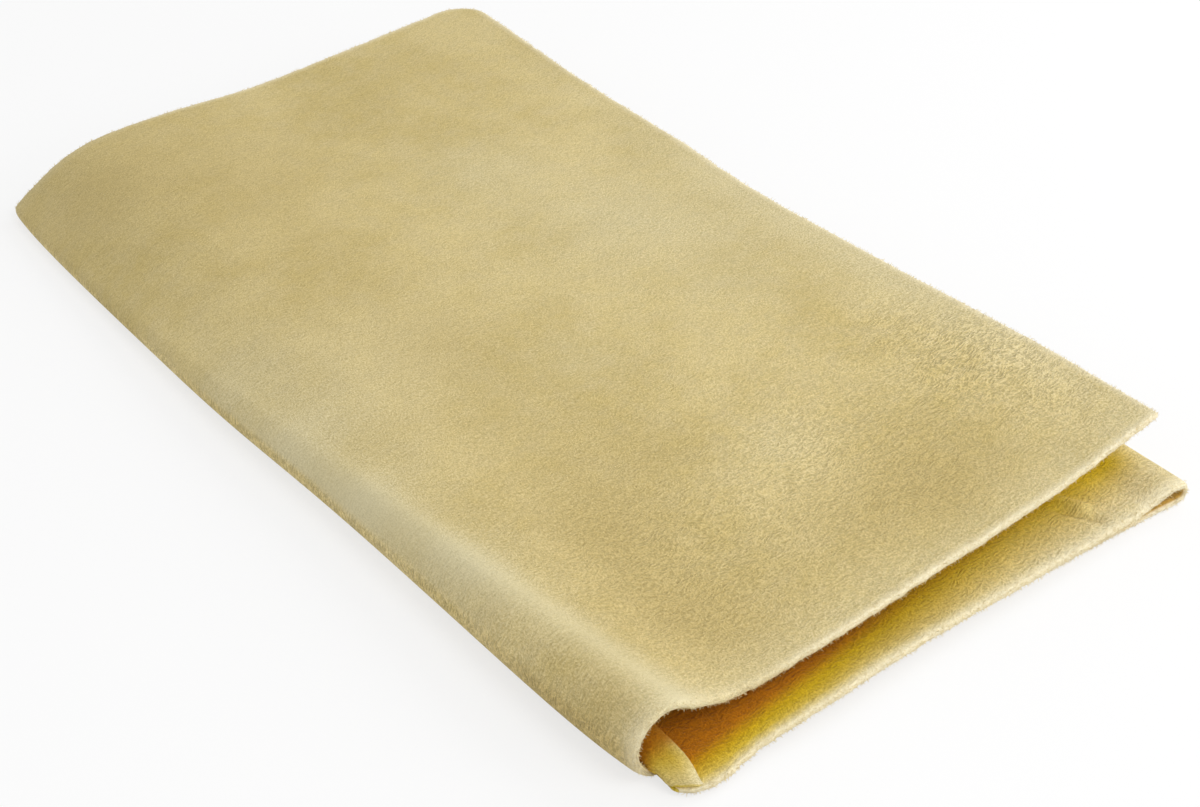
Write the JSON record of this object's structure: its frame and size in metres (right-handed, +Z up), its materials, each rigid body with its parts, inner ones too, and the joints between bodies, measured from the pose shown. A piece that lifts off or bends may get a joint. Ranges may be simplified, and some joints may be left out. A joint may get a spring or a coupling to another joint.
{
  "type": "chamois leather",
  "caption": "Soft buff-yellow chamois leather, folded in three like a letter; the top flap opens at the spine fold and the inner flap springs up behind it.",
  "frame": {"origin": "on the table, under the middle of the folded leather's outline", "axes": "+X from the spine fold to the side fold, +Y from the open near end to the far end, +Z up from the table"},
  "size_m": [0.133, 0.2366, 0.0182],
  "materials": {
    "chamois_leather": "napped matt suede on both faces, roughness about 0.92"
  },
  "bodies": {
    "base": {"base_panel": "chamois_leather", "spine_fold": "chamois_leather", "side_fold": "chamois_leather"},
    "top_flap": {"top_flap": "chamois_leather"},
    "inner_flap": {"inner_flap": "chamois_leather"}
  },
  "joints": [
    {"name": "spine_hinge", "type": "hinge", "parent": "base", "child": "top_flap", "pos_m": [-0.06196, 0, 0.0065], "axis": [0, -1, 0], "range_deg": [0, 175], "deforming": ["spine_fold"]},
    {"name": "side_hinge", "type": "hinge", "parent": "base", "child": "inner_flap", "pos_m": [0.06414, 0, 0.0024], "axis": [0, 1, 0], "range_deg": [0, 17.5], "deforming": ["side_fold"]}
  ],
  "couplings": [
    {"joint": "side_hinge", "follows": "spine_hinge", "ratio": 0.1}
  ]
}
